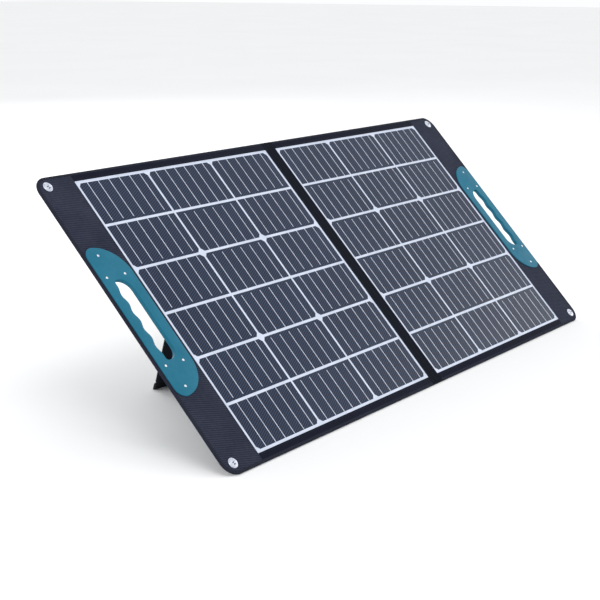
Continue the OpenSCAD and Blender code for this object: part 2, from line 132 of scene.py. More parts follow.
class Look:
    """A procedural material being wired up."""

    def __init__(self, name, rough=0.6, metallic=0.0, **sockets):
        self.material = bpy.data.materials.new(name)
        self.material.use_nodes = True
        self.tree = self.material.node_tree
        self.shader = self.tree.nodes["Principled BSDF"]
        self.shader.inputs["Roughness"].default_value = rough
        self.shader.inputs["Metallic"].default_value = metallic
        for key, value in sockets.items():
            self.shader.inputs[key.replace("_", " ")].default_value = value
        coordinates = self.tree.nodes.new("ShaderNodeTexCoord")
        mapping = self.tree.nodes.new("ShaderNodeMapping")
        mapping.inputs["Rotation"].default_value = TO_PANEL
        self.link(coordinates.outputs["Object"], mapping.inputs["Vector"])
        self.place = mapping.outputs["Vector"]
        split = self.tree.nodes.new("ShaderNodeSeparateXYZ")
        self.link(self.place, split.inputs[0])
        self.x, self.y, self.z = split.outputs

    def link(self, out, socket):
        self.tree.links.new(out, socket)

    def math(self, operation, *values):
        node = self.tree.nodes.new("ShaderNodeMath")
        node.operation = operation
        for socket, value in zip(node.inputs, values):
            if isinstance(value, (int, float)):
                socket.default_value = value
            else:
                self.link(value, socket)
        return node.outputs[0]

    def noise(self, size, detail=3.0, stretch=(1, 1, 1)):
        """Smooth noise whose features are about size millimetres across."""
        place = self.tree.nodes.new("ShaderNodeMapping")
        place.inputs["Scale"].default_value = stretch
        self.link(self.place, place.inputs["Vector"])
        node = self.tree.nodes.new("ShaderNodeTexNoise")
        node.inputs["Scale"].default_value = 1 / (size * MM)
        node.inputs["Detail"].default_value = detail
        self.link(place.outputs[0], node.inputs["Vector"])
        return node.outputs["Fac"]

    def ramp(self, factor, *stops):
        node = self.tree.nodes.new("ShaderNodeValToRGB")
        while len(node.color_ramp.elements) < len(stops):
            node.color_ramp.elements.new(0.5)
        for element, (position, colour) in zip(node.color_ramp.elements, stops):
            element.position = position
            element.color = (*colour, 1) if len(colour) == 3 else (colour[0],) * 3 + (1,)
        self.link(factor, node.inputs[0])
        return node.outputs[0]

    def colour(self, factor, dark, light, low=0.3, high=0.7):
        self.link(self.ramp(factor, (low, dark), (high, light)), self.shader.inputs["Base Color"])

    def roughness(self, factor, low, high):
        self.link(self.ramp(factor, (0.3, (low,)), (0.7, (high,))), self.shader.inputs["Roughness"])

    def bump(self, height, depth, socket="Normal"):
        """Relief of depth millimetres for a height that runs from 0 to 1."""
        node = self.tree.nodes.new("ShaderNodeBump")
        node.inputs["Distance"].default_value = depth * MM
        self.link(height, node.inputs["Height"])
        self.link(node.outputs[0], self.shader.inputs[socket])

    def lines(self, angle, pitch):
        """The height of round ribs that run at an angle in degrees to the panel's width."""
        rise = self.math("MULTIPLY", self.y, math.cos(math.radians(angle)) / (pitch * MM))
        run = self.math("MULTIPLY", self.x, -math.sin(math.radians(angle)) / (pitch * MM))
        turns = self.math("MULTIPLY", self.math("ADD", rise, run), 2 * math.pi)
        return self.math("MULTIPLY_ADD", self.math("SINE", turns), 0.5, 0.5)

    def weave(self, pitch):
        """The height of a plain weave whose threads are pitch millimetres apart."""
        across = self.math("MULTIPLY", self.x, 1 / (pitch * MM))
        along = self.math("MULTIPLY", self.y, 1 / (pitch * MM))
        warp = self.math("ABSOLUTE", self.math("SINE", self.math("MULTIPLY", across, math.pi)))
        weft = self.math("ABSOLUTE", self.math("SINE", self.math("MULTIPLY", along, math.pi)))
        squares = self.math("ADD", self.math("FLOOR", across), self.math("FLOOR", along))
        over = self.math("FLOORED_MODULO", squares, 2.0)
        under = self.math("SUBTRACT", 1.0, over)
        warp_top = self.math("MULTIPLY", warp, self.math("MULTIPLY_ADD", weft, 0.5, 0.5))
        weft_top = self.math("MULTIPLY", weft, self.math("MULTIPLY_ADD", warp, 0.5, 0.5))
        return self.math("MULTIPLY_ADD", warp_top, over, self.math("MULTIPLY", weft_top, under))


def mixed(look, first, second, share):
    """first and second added, with share of second."""
    return look.math("MULTIPLY_ADD", second, share, look.math("MULTIPLY", first, 1 - share))


RIB_ANGLE, RIB_PITCH = -14.0, 3.7      # the ribs of the wings' cloth
HATCH_ANGLE, HATCH_PITCH = 25.0, 3.8   # the fine texture of the cells
CLOTH_ROUGH = 0.85
METAL_ROUGH = 0.3
METAL_PATCH = 3.0                      # size of the patches in plated metal
DIMPLE = 1.6                           # size of the film's diamond dimples
FILM_ROUGH = 0.27
FINGER_PITCH, FINGER_START = 1.4, 0.93  # the cells' silver fingers, and where in a pitch each starts
TRACK_PITCH, TRACK_START = 2.5, 0.6    # the circuit board's tracks


def fabric(name, dark, light, pitch, depth=0.25, ribs=0.0):
    """Woven cloth: threads in relief, with painted shade in the hollows between them and their tops
    painted lighter, soft cloudy variation and worn patches.
    """
    look = Look(name, CLOTH_ROUGH, Sheen_Weight=0.02, Sheen_Roughness=0.5, Specular_IOR_Level=0.05)
    threads = look.weave(pitch)
    if ribs:
        threads = mixed(look, threads, look.lines(RIB_ANGLE, RIB_PITCH), ribs)
    clouds = mixed(look, look.noise(60), look.noise(6), 0.4)
    # Painted shade and highlight: the colour follows the height of the threads and ribs, darker in their
    # hollows and lighter on their tops.
    look.colour(mixed(look, threads, clouds, 0.5), dark, light, 0.2, 0.85)
    look.roughness(clouds, CLOTH_ROUGH - 0.08, CLOTH_ROUGH + 0.08)
    look.bump(threads, depth)
    return look.material


def plastic(name, dark, light, rough, grain=0.6, depth=0.05):
    """Moulded plastic: fine spark-eroded grain, slight colour drift and handling marks."""
    look = Look(name, rough, Specular_IOR_Level=0.18)
    drift = mixed(look, look.noise(45), look.noise(4), 0.3)
    look.colour(drift, dark, light)
    look.roughness(look.noise(14), rough - 0.07, rough + 0.07)
    look.bump(look.noise(grain, 2.0), depth)
    return look.material


def metal(name, dark, light):
    """Plated metal with fine polishing scratches and dull patches."""
    look = Look(name, METAL_ROUGH, 1.0)
    look.colour(look.noise(METAL_PATCH), dark, light)
    look.roughness(look.noise(METAL_PATCH * 0.6), METAL_ROUGH - 0.08, METAL_ROUGH + 0.12)
    look.bump(look.noise(0.5, 2.0, (1, 0.1, 1)), 0.01)
    return look.material


def film_coat(look, depth=0.06):
    """The clear film over the laminate: a coat with the film's diamond dimples."""
    diagonal = look.math("ADD", look.x, look.y)
    other = look.math("SUBTRACT", look.x, look.y)
    turn = math.pi / (DIMPLE * MM)
    rise = look.math("SINE", look.math("MULTIPLY", diagonal, turn))
    fall = look.math("SINE", look.math("MULTIPLY", other, turn))
    dimples = look.math("MULTIPLY_ADD", look.math("MULTIPLY", rise, fall), 0.5, 0.5)
    look.shader.inputs["Coat Weight"].default_value = 0.5
    look.shader.inputs["Coat Roughness"].default_value = FILM_ROUGH
    look.shader.inputs["Coat IOR"].default_value = 1.4
    look.bump(dimples, depth, "Coat Normal")
    return dimples


def cell_look():
    """Dark blue-grey silicon with fine silver fingers across it, under the dimpled film."""
    look = Look("silicon_cell", 0.5, Specular_IOR_Level=0.05)
    dimples = film_coat(look)
    fingers = look.math("FRACT", look.math("MULTIPLY", look.y, 1 / (FINGER_PITCH * MM)))
    finger = look.math("GREATER_THAN", fingers, FINGER_START)
    clouds = look.noise(120, 2.0)
    # Painted shade and highlight: the film's dimples, which are relief in the coat, also vary the cells'
    # colour here, beside the hatch lines of the cells' fine texture.
    texture = mixed(look, dimples, look.lines(HATCH_ANGLE, HATCH_PITCH), 0.85)
    tone = mixed(look, clouds, texture, 0.8)
    tone = look.math("MULTIPLY_ADD", finger, 0.25, tone)
    look.colour(tone, (0.0, 0.0, 0.011), (0.018, 0.04, 0.09), 0.25, 0.85)
    look.bump(finger, 0.02)
    return look.material


def white_look():
    look = Look("white_backsheet", 0.6, Specular_IOR_Level=0.1)
    film_coat(look, 0.04)
    look.colour(look.noise(25), (0.52, 0.57, 0.68), (0.61, 0.66, 0.78))
    look.bump(look.noise(1.5), 0.03)
    return look.material


def ribbon_look():
    look = Look("tinned_ribbon", 0.5, 0.2)
    film_coat(look, 0.04)
    look.colour(look.noise(2, 3.0, (1, 0.15, 1)), (0.5, 0.54, 0.64), (0.72, 0.77, 0.9))
    look.bump(look.noise(0.8, 2.0), 0.03)
    return look.material


def board_look():
    look = Look("fibre_board", 0.8)
    look.colour(look.noise(3, 4.0, (1, 6, 1)), (0.2, 0.17, 0.13), (0.33, 0.28, 0.21))
    look.bump(look.noise(1.2, 3.0), 0.08)
    return look.material


def circuit_look():
    look = Look("circuit_board", 0.35)
    turns = look.math("FRACT", look.math("MULTIPLY", look.x, 1 / (TRACK_PITCH * MM)))
    tracks = look.math("GREATER_THAN", turns, TRACK_START)
    look.colour(mixed(look, tracks, look.noise(5), 0.4), (0.01, 0.09, 0.04), (0.03, 0.2, 0.09))
    look.bump(tracks, 0.03)
    return look.material


WING_CLOTH = fabric("wing_oxford", (0.002, 0.004, 0.014), (0.05, 0.055, 0.084), 1.5, ribs=0.45)
STRIP_CLOTH = fabric("black_cloth", (0.001, 0.002, 0.007), (0.014, 0.017, 0.032), 1.2, 0.15)
SPINE_CLOTH = fabric("spine_cloth", (0.0005, 0.001, 0.004), (0.007, 0.009, 0.018), 0.9, 0.1)
BACK_CLOTH = fabric("back_oxford", (0.012, 0.014, 0.02), (0.045, 0.05, 0.066), 1.6)
LEG_CLOTH = fabric("leg_cloth", (0.01, 0.012, 0.018), (0.034, 0.038, 0.052), 1.3)
TAPE = fabric("edge_tape", (0.004, 0.006, 0.012), (0.032, 0.036, 0.055), 0.8, 0.12)
WEBBING = fabric("webbing", (0.008, 0.009, 0.013), (0.034, 0.036, 0.046), 1.8, 0.3)
POCKET_CLOTH = fabric("pocket_oxford", (0.016, 0.018, 0.027), (0.055, 0.06, 0.08), 1.6)
THREAD = fabric("sewing_thread", (0.008, 0.009, 0.015), (0.04, 0.044, 0.062), 0.3, 0.05)
TEAL = plastic("teal_moulding", (0.006, 0.118, 0.19), (0.012, 0.15, 0.235), 0.5)
BOX_PLASTIC = plastic("box_moulding", (0.012, 0.013, 0.016), (0.026, 0.028, 0.033), 0.5, 0.8, 0.08)
# Dark plastic of the DC socket; the same colour also serves as painted shade in the snaps' slots and
# holes.
DARK_PLASTIC_AND_SHADE = plastic("socket_moulding_and_shade", (0.01, 0.01, 0.012), (0.02, 0.02, 0.024), 0.3)
RUBBER = plastic("soft_rubber", (0.01, 0.01, 0.012), (0.024, 0.024, 0.028), 0.75, 0.5, 0.1)
LAMP = plastic("lamp_lens", (0.05, 0.4, 0.12), (0.1, 0.6, 0.2), 0.15)
ZIP_NYLON = plastic("zip_nylon", (0.01, 0.011, 0.014), (0.03, 0.032, 0.038), 0.35)
STEEL = metal("nickel_plate", (0.58, 0.61, 0.7), (0.75, 0.78, 0.87))
RIVET = metal("rivet_nickel", (0.75, 0.76, 0.8), (0.95, 0.95, 0.97))
CELL, WHITE, RIBBON = cell_look(), white_look(), ribbon_look()
BOARD, CIRCUIT = board_look(), circuit_look()


# ---- building ----

def paint(obj, material):
    obj.data.materials.clear()
    obj.data.materials.append(material)
    for polygon in obj.data.polygons:
        polygon.material_index = 0


def piece(name, mesh, material, body=None, replaces=(), matrix=PANEL, smooth=35):
    """A new piece from a mesh in millimetres: placed, painted, shaded, and riding on its body."""
    built = bmesh.new()
    built.from_mesh(mesh)
    bmesh.ops.remove_doubles(built, verts=built.verts, dist=1e-4)
    bmesh.ops.recalc_face_normals(built, faces=built.faces)
    built.transform(matrix)
    built.to_mesh(mesh)
    built.free()
    mesh.name = name
    obj = bpy.data.objects.new(name, mesh)
    bpy.context.collection.objects.link(obj)
    paint(obj, material)
    mesh.shade_smooth()
    mesh.set_sharp_from_angle(angle=math.radians(smooth))
    if body:
        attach(obj, body)
    if replaces:
        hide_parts(*replaces)
    return obj


def from_bmesh(built):
    mesh = bpy.data.meshes.new("piece")
    built.to_mesh(mesh)
    built.free()
    return mesh


def plate_mesh(outlines, z0, z1, bevel):
    """A flat plate with rounded edges: the first outline is its rim and the others are holes."""
    curve = bpy.data.curves.new("outline", "CURVE")
    curve.dimensions = "2D"
    curve.fill_mode = "BOTH"
    curve.extrude = (z1 - z0) / 2 - bevel
    curve.bevel_depth = bevel
    curve.bevel_resolution = 3
    curve.offset = -bevel
    for outline in outlines:
        spline = curve.splines.new("POLY")
        spline.points.add(len(outline) - 1)
        for point, (x, y) in zip(spline.points, outline):
            point.co = (x, y, 0, 1)
        spline.use_cyclic_u = True
    holder = bpy.data.objects.new("outline", curve)
    bpy.context.collection.objects.link(holder)
    mesh = bpy.data.meshes.new_from_object(holder)
    bpy.data.objects.remove(holder)
    mesh.transform(Matrix.Translation((0, 0, (z0 + z1) / 2)))
    return mesh


def joined(*meshes):
    built = bmesh.new()
    for mesh in meshes:
        built.from_mesh(mesh)
    return from_bmesh(built)


def arc(x, y, r, start, end, steps=14):
    """Points of an arc, in degrees."""
    turns = [math.radians(start + (end - start) * i / steps) for i in range(steps + 1)]
    return [(x + r * math.cos(t), y + r * math.sin(t)) for t in turns]


def circle(r, steps):
    return [(r * math.cos(t), r * math.sin(t)) for t in (2 * math.pi * i / steps for i in range(steps))]


def rounded_box_outline(x0, x1, y0, y1, r):
    return (arc(x1 - r, y0 + r, r, -90, 0, 6) + arc(x1 - r, y1 - r, r, 0, 90, 6)
            + arc(x0 + r, y1 - r, r, 90, 180, 6) + arc(x0 + r, y0 + r, r, 180, 270, 6))


def outer_path(inset, start_x=PV_X):
    """The panel's outer edge on the right half, from start_x at the bottom round to start_x at the top."""
    r = CORNER_R - inset
    x = EDGE_X - CORNER_R
    return ([(start_x, inset)] + arc(x, CORNER_R, r, -90, 0)
            + arc(x, HEIGHT - CORNER_R, r, 0, 90) + [(start_x, HEIGHT - inset)])


def handle_outline():
    """Small corners on the outer side and large ones towards the laminate."""
    x0, x1 = HANDLE_LOW.x, HANDLE_HIGH.x
    half = (HANDLE_HIGH.y - HANDLE_LOW.y) / 2

    def rise(gap, r):
        return half if gap >= r else half - r + math.sqrt(r * r - (r - gap) ** 2)

    xs = [x0 + (x1 - x0) * (1 - math.cos(math.pi * i / 72)) / 2 for i in range(73)]
    top = [(x, MID_Y + min(rise(x - x0, HANDLE_R_IN), rise(x1 - x, HANDLE_R_OUT))) for x in xs]
    return top + [(x, 2 * MID_Y - y) for x, y in reversed(top)]


def slot_outline(grow=0.0):
    """The finger slot: rounded towards the laminate, with finger scallops on its outer side."""
    x0, x1 = SLOT_X0, SLOT_X0 + SLOT_W
    top, bottom = MID_Y + SLOT_HALF, MID_Y - SLOT_HALF
    reach_y = SCALLOPS * SCALLOP_PITCH / 2
    steps = 96
    wave = []
    for i in range(steps + 1):
        y = -reach_y + 2 * reach_y * i / steps
        phase = 2 * math.pi * (y / SCALLOP_PITCH + (SCALLOPS - 1) / 2)
        wave.append((x1 + grow + SCALLOP_DEPTH * (0.5 + 0.5 * math.cos(phase)), MID_Y + y))
    return (arc(x0 + SLOT_R_IN, bottom + SLOT_R_IN, SLOT_R_IN + grow, 180, 270)
            + arc(x1 - SLOT_R_OUT, bottom + SLOT_R_OUT, SLOT_R_OUT + grow, -90, 0, 6)
            + wave
            + arc(x1 - SLOT_R_OUT, top - SLOT_R_OUT, SLOT_R_OUT + grow, 0, 90, 6)
            + arc(x0 + SLOT_R_IN, top - SLOT_R_IN, SLOT_R_IN + grow, 90, 180))


def lathe(built, centre, profile, steps=40):
    """Adds a turned shape to a bmesh. profile is a list of radius and height, from the axis outwards."""
    rings = []
    for r, z in profile:
        if r < 1e-6:
            rings.append([built.verts.new((centre[0], centre[1], z))])
            continue
        turns = [2 * math.pi * i / steps for i in range(steps)]
        rings.append([built.verts.new((centre[0] + r * math.cos(t), centre[1] + r * math.sin(t), z))
                      for t in turns])
    for low, high in zip(rings, rings[1:]):
        for i in range(steps):
            j = (i + 1) % steps
            corners = {low[i % len(low)]: 0, low[j % len(low)]: 0, high[j % len(high)]: 0,
                       high[i % len(high)]: 0}
            if len(corners) > 2:
                built.faces.new(list(corners))


def skin(built, rings):
    """Joins a row of rings into a tube and closes both of its ends."""
    for low, high in zip(rings, rings[1:]):
        for k in range(len(low)):
            m = (k + 1) % len(low)
            built.faces.new((low[k], low[m], high[m], high[k]))
    built.faces.new(rings[0])
    built.faces.new(rings[-1])


def sweep(path, profile):
    """A mesh whose profile, pairs of inward distance and height, follows an open path of points."""
    built = bmesh.new()
    rings = []
    for i, (x, y) in enumerate(path):
        before, after = path[max(i - 1, 0)], path[min(i + 1, len(path) - 1)]
        way = Vector((after[0] - before[0], after[1] - before[1])).normalized()
        inward = Vector((-way.y, way.x))
        rings.append([built.verts.new((x + inward.x * d, y + inward.y * d, z)) for d, z in profile])
    skin(built, rings)
    return from_bmesh(built)


def walk(path, pitch, length):
    """Pairs of points along a path: where each stitch starts and ends."""
    lengths = [(Vector(b) - Vector(a)).length for a, b in zip(path, path[1:])]
    total = sum(lengths)
    count = int(total / pitch)

    def at(distance):
        for a, b, size in zip(path, path[1:], lengths):
            if distance <= size:
                return Vector(a).lerp(Vector(b), distance / size)
            distance -= size
        return Vector(path[-1])

    starts = [(i + 0.5) * total / count - length / 2 for i in range(count)]
    return [(at(s), at(s + length)) for s in starts]


THREAD_R = 0.32


def add_stitch(built, a, b, up, radius):
    """One stitch: a short thread, thickest in the middle and sunk at its ends."""
    way = (b - a).normalized()
    side = way.cross(up)
    rings = []
    for share, size, lift in ((0, 0.35, -0.5), (0.2, 0.9, 0.1), (0.8, 0.9, 0.1), (1, 0.35, -0.5)):
        middle = a.lerp(b, share) + up * radius * lift
        turns = [2 * math.pi * i / 6 for i in range(6)]
        rings.append([built.verts.new(middle + (side * math.cos(t) + up * math.sin(t)) * radius * size)
                      for t in turns])
    skin(built, rings)


def stitches(name, paths, body, up=1, matrix=PANEL, pitch=4.2, length=3.1):
    """Rows of stitches along paths in millimetres. up is the side of the cloth that they show on."""
    built = bmesh.new()
    for path in paths:
        for a, b in walk(path, pitch, length):
            add_stitch(built, a, b, Vector((0, 0, up)), THREAD_R)
    return piece(name, from_bmesh(built), THREAD, body, matrix=matrix, smooth=60)


def round_edges(obj, width, segments):
    """Rounds an object's sharp edges by width millimetres."""
    modifier = obj.modifiers.new("bevel", "BEVEL")
    modifier.width = width * MM
    modifier.segments = segments
    modifier.limit_method = "ANGLE"
    modifier.angle_limit = math.radians(40)
    with bpy.context.temp_override(object=obj, active_object=obj, selected_objects=[obj]):
        bpy.ops.object.modifier_apply(modifier=modifier.name)


def softened(node, name, material, body, bevel):
    """A copy of a CAD node with its edges rounded, which replaces it."""
    source = NODES[node]
    built = bmesh.new()
    built.from_mesh(source.data)
    bmesh.ops.remove_doubles(built, verts=built.verts, dist=1e-6)
    bmesh.ops.dissolve_limit(built, angle_limit=math.radians(2), verts=built.verts, edges=built.edges)
    mesh = from_bmesh(built)
    obj = piece(name, mesh, material, None, matrix=Matrix.Identity(4))
    round_edges(obj, bevel, 3)
    obj.data.shade_smooth()
    obj.data.set_sharp_from_angle(angle=math.radians(35))
    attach(obj, body)
    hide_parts(node)
    return obj


def on_side(mesh, sign):
    """A mesh made for the right half, turned over for the left one."""
    if sign < 0:
        mesh.transform(Matrix.Scale(-1, 4, (1, 0, 0)))
    return mesh


def strip(path, x0, x1, thickness, steps=1):
    """A flat band that follows a path of y and z, from x0 to x1, with rounded edges."""
    built = bmesh.new()
    half = thickness / 2
    edge = [(x0, 0), (x0 + half * 0.4, half * 0.8), (x0 + half, half)]
    edge += [(x0 + (x1 - x0) * i / steps, half) for i in range(1, steps)]
    edge += [(x1 - half, half), (x1 - half * 0.4, half * 0.8), (x1, 0)]
    loop = edge + [(x, -h) for x, h in reversed(edge[1:-1])]
    rings = []
    for i, (y, z) in enumerate(path):
        before, after = path[max(i - 1, 0)], path[min(i + 1, len(path) - 1)]
        way = Vector((after[0] - before[0], after[1] - before[1])).normalized()
        rings.append([built.verts.new((x, y - way.y * h, z + way.x * h)) for x, h in loop])
    skin(built, rings)
    return from_bmesh(built)


def smooth_path(points, steps=6):
    """A Catmull-Rom curve through points of y and z."""
    ends = [points[0]] + list(points) + [points[-1]]
    curve = []
    for a, b, c, d in zip(ends, ends[1:], ends[2:], ends[3:]):
        for i in range(steps):
            t = i / steps
            curve.append(tuple(
                0.5 * (2 * q + (r - p) * t + (2 * p - 5 * q + 4 * r - s) * t * t
                       + (3 * q - p - 3 * r + s) * t ** 3) for p, q, r, s in zip(a, b, c, d)))
    return curve + [tuple(points[-1])]


# ---- laminates ----

def laminate(side, sign):
    half = f"{side}_half"
    paint(NODES[f"{side}_cells"], CELL)
    paint(NODES[f"{side}_ribbons"], RIBBON)
    paint(NODES[f"{side}_backsheet"], WHITE)
    paint(NODES[f"{side}_string_links"], RIBBON)
    rim = [rounded_box_outline(PV_LOW.x, PV_HIGH.x, PV_LOW.y, PV_HIGH.y, 1.5),
           rounded_box_outline(PV_LOW.x + FILM_IN, PV_HIGH.x - FILM_IN,
                               PV_LOW.y + FILM_IN, PV_HIGH.y - FILM_IN, 1.5)]
    mesh = on_side(plate_mesh(rim, PV_LOW.z + 0.4, 0.1, 0.2), sign)
    piece(f"{side}_film_rim", mesh, WHITE, half, [f"{side}_front_sheet"])


# ---- cover ----

TAPE_IN = 5.2                          # how far the edge tape reaches over the cover
CLOTH_IN = 1.6                         # the cloth layers' edge, inside the panel's
FRONT_LOW = -1.4                       # the front cloths' lower side
REAR = BACK_Z - 0.1, BACK_Z + 0.8      # the back cloths' two sides
CLOTH_BEVEL = 0.3
FILM_IN = 1.4                          # width of the film's rim


def cover(side, sign):
    half = f"{side}_half"
    for node in ("core_board", "wing_board"):
        paint(NODES[f"{side}_{node}"], BOARD)
    slot = slot_outline(COLLAR_T)
    outline = outer_path(CLOTH_IN, WING_X)
    front = on_side(plate_mesh([outline, slot], FRONT_LOW, 0.12, CLOTH_BEVEL), sign)
    piece(f"{side}_wing_cloth", front, WING_CLOTH, half, [f"{side}_wing_front"])
    back = on_side(plate_mesh([outline, slot], *REAR, CLOTH_BEVEL), sign)
    piece(f"{side}_wing_back_cloth", back, BACK_CLOTH, half, [f"{side}_wing_back"])
    inner, outer = PV_X + 0.2, WING_X - 0.1
    strips = [plate_mesh([rounded_box_outline(inner, outer, y0, y1, 0.6)], FRONT_LOW, 0.1, CLOTH_BEVEL)
              for y0, y1 in ((CLOTH_IN, PV_LOW.y), (PV_HIGH.y, HEIGHT - CLOTH_IN))]
    piece(f"{side}_border_cloth", on_side(joined(*strips), sign), STRIP_CLOTH, half,
          [f"{side}_front_strips"])
    rear = plate_mesh([rounded_box_outline(inner, outer, CLOTH_IN, HEIGHT - CLOTH_IN, 0.6)],
                      *REAR, CLOTH_BEVEL)
    piece(f"{side}_back_cloth", on_side(rear, sign), BACK_CLOTH, half,
          [f"{side}_back_cover"])
    lip, roll = 0.4, 1.4
    tape = [(TAPE_IN, 0.05), (TAPE_IN, lip * 0.8), (TAPE_IN - 0.3, lip), (roll, lip), (0.55, 0.05),
            (0.12, -0.7), (0, -1.7), (0.12, -2.7), (0.55, BACK_Z - 0.05), (roll, BACK_Z - lip),
            (TAPE_IN - 0.3, BACK_Z - lip), (TAPE_IN, BACK_Z - lip * 0.8), (TAPE_IN, BACK_Z - 0.05),
            (roll, BACK_Z - 0.02), (roll, -0.02)]
    piece(f"{side}_tape", on_side(sweep(outer_path(0), tape), sign), TAPE, half,
          [f"{side}_edge_binding"], smooth=50)


SEAM_IN = 3.4                          # a wing's seam, from the wing's inner edge


def cover_stitches(side, sign):
    half = f"{side}_half"
    hem = [(sign * x, y, 0.42) for x, y in outer_path(TAPE_IN - 1.3)]
    front = [hem, [(sign * (WING_X + SEAM_IN), y, 0.14) for y in (TAPE_IN + 1, HEIGHT - TAPE_IN - 1)]]
    for y in (PV_LOW.y - 3, PV_HIGH.y + 3):
        front.append([(sign * x, y, 0.12) for x in (PV_X + 4, WING_X - 4)])
    stitches(f"{side}_front_stitches", front, half)
    rear = [[(x, y, BACK_Z - 0.42) for x, y, z in hem]]
    for x in (WING_X + SEAM_IN, WING_X - SEAM_IN):
        rear.append([(sign * x, y, BACK_Z - 0.12) for y in (TAPE_IN + 1, HEIGHT - TAPE_IN - 1)])
    stitches(f"{side}_back_stitches", rear, half, -1)


LEAD_W = 9                             # width of each of the two leads in the spine


def spine():
    """The cloth between the halves, where the panel folds, with a soft crease on each side of its middle.
    """
    count = 28
    half = PV_X - 0.1
    us = [-half + 2 * half * i / count for i in range(count + 1)]

    def dip(u):
        return 0.35 * math.exp(-((abs(u) - 6) / 1.6) ** 2) + 0.1 * math.exp(-((abs(u) - half) / 1.2) ** 2)

    top = [(u, -dip(u)) for u in us]
    bottom = [(u, BACK_Z + dip(u)) for u in reversed(us)]
    built = bmesh.new()
    rings = []
    ends = (0.05, 0.25, 0.9)               # rings close to each end, which it is rounded over
    inner = [HEIGHT * i / 60 for i in range(1, 60)]
    for y in [*ends, *inner, *(HEIGHT - e for e in reversed(ends))]:
        end = 0.35 * (1 - min(y, HEIGHT - y, ends[-1]) / ends[-1]) ** 2
        ripple = 0.06 * math.sin(y / 9.0)

        def height(u, z):
            return (z + ripple * (abs(u) < half - 2)) * (1 - end) + end * BACK_Z / 2

        rings.append([built.verts.new((u, y, height(u, z))) for u, z in top + bottom])
    skin(built, rings)
    cloth = piece("spine_cloth", from_bmesh(built), SPINE_CLOTH, None, ["spine_fabric"])
    low, high = local_box("bridge_leads")
    bands = []
    for y0, y1 in ((low.y, low.y + LEAD_W), (high.y - LEAD_W, high.y)):
        band = bmesh.new()
        xs = [low.x + (high.x - low.x) * i / 14 for i in range(15)]
        edge = ((y0, low.z), (y1, low.z), (y1, high.z), (y0, high.z))
        skin(band, [[band.verts.new((x, y, z)) for y, z in edge] for x in xs])
        bands.append(from_bmesh(band))
    leads = piece("spine_leads", joined(*bands), RIBBON, None, ["bridge_leads"])
    rows = [[(sign * (PV_X - 2.6), y, 0.05) for y in (6, HEIGHT - 6)] for sign in (-1, 1)]
    seams = stitches("spine_stitches", rows, None)
    under = [[(x, y, BACK_Z - 0.05) for x, y, z in row] for row in rows]
    back_seams = stitches("spine_back_stitches", under, None, -1)
    start, end = (PANEL @ Vector((s * (PV_X - 1.5), MID_Y, 0)) for s in (-1, 1))
    for obj in (cloth, leads, seams, back_seams):
        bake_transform(obj)


# ---- handles, rivets and snaps ----

def handle(side, sign):
    half = f"{side}_half"
    plate = plate_mesh([handle_outline(), slot_outline()], 0.02, HANDLE_T, 0.85)
    collar = plate_mesh([slot_outline(COLLAR_T - 0.05), slot_outline()], HANDLE_BACK, 1.2, 0.3)
    piece(f"{side}_handle", on_side(joined(plate, collar), sign), TEAL, half,
          [f"{side}_handle_front"])
    rear = plate_mesh([handle_outline(), slot_outline(COLLAR_T)], HANDLE_BACK, BACK_Z, 0.6)
    piece(f"{side}_handle_rear", on_side(rear, sign), TEAL, half,
          [f"{side}_handle_back"])


def islands(node):
    """The middle of each separate solid of a node, in the panel frame."""
    built = bmesh.new()
    built.from_mesh(NODES[node].data)
    bmesh.ops.remove_doubles(built, verts=built.verts, dist=1e-6)
    inverse = PANEL.inverted()
    left, middles = set(built.verts), []
    while left:
        found, queue = [], [left.pop()]
        while queue:
            vert = queue.pop()
            found.append(inverse @ vert.co)
            near = [edge.other_vert(vert) for edge in vert.link_edges]
            queue += [v for v in near if v in left]
            left -= set(near)
        low, high = ([pick(p[i] for p in found) for i in range(3)] for pick in (min, max))
        middles.append([(a + b) / 2 for a, b in zip(low, high)])
    built.free()
    return middles


def rivets(side):
    built = bmesh.new()
    top = HANDLE_T
    for x, y, z in islands(f"{side}_handle_rivets"):
        lathe(built, (x, y), [(0, top + 0.38), (1.0, top + 0.33), (1.8, top + 0.16), (2.3, top - 0.06),
                              (2.45, top - 0.3), (1.5, top - 0.5), (1.5, HANDLE_BACK),
                              (2.45, HANDLE_BACK - 0.05), (2.2, HANDLE_BACK - 0.45),
                              (1.2, HANDLE_BACK - 0.62), (0, HANDLE_BACK - 0.66)], 24)
    piece(f"{side}_rivets", from_bmesh(built), RIVET, f"{side}_half",
          [f"{side}_handle_rivets"], smooth=50)


# Turned profiles of the snaps, as pairs of radius and height: the rim and cap, then what it holds.
RIM = [(7.3, 1.1), (7.7, 1.0), (8.0, 1.2), (8.3, 1.35), (8.7, 1.2), (8.95, 0.8), (9.0, 0.05),
       (2.0, 0.0), (2.0, BACK_Z), (6.9, BACK_Z - 0.05), (6.7, BACK_Z - 0.5), (5.2, BACK_Z - 0.85),
       (0, BACK_Z - 0.95)]
SOCKET = [(0, -0.6), (5.1, -0.6), (5.2, 1.9), (5.4, 2.1), (6.5, 2.1), (7.0, 1.9)] + RIM
STUD = [(0, 0.9), (2.0, 0.95), (2.2, 1.2), (2.2, 3.75), (2.45, 3.9), (4.1, 3.9), (4.65, 3.5),
        (4.35, 2.5), (4.6, 1.7), (5.4, 1.2)] + RIM
FACE_R, FACE_LOW, FACE_Z = 5.3, 0.55, 1.3  # the pressed face of a socket, with the two slots of its spring
SPRING_X = -0.5, 2.9                   # the middles of the slots
SPRING_HALF_W, SPRING_Y = 0.8, (-1.8, 2.8)
SLOT_TURN = -66                        # degrees between the slots and the panel's height
SLOT_SHADE_SHARE, SLOT_SHADE_Z = 0.85, (-0.3, 0.1)  # painted shade: the dark disc under the slots
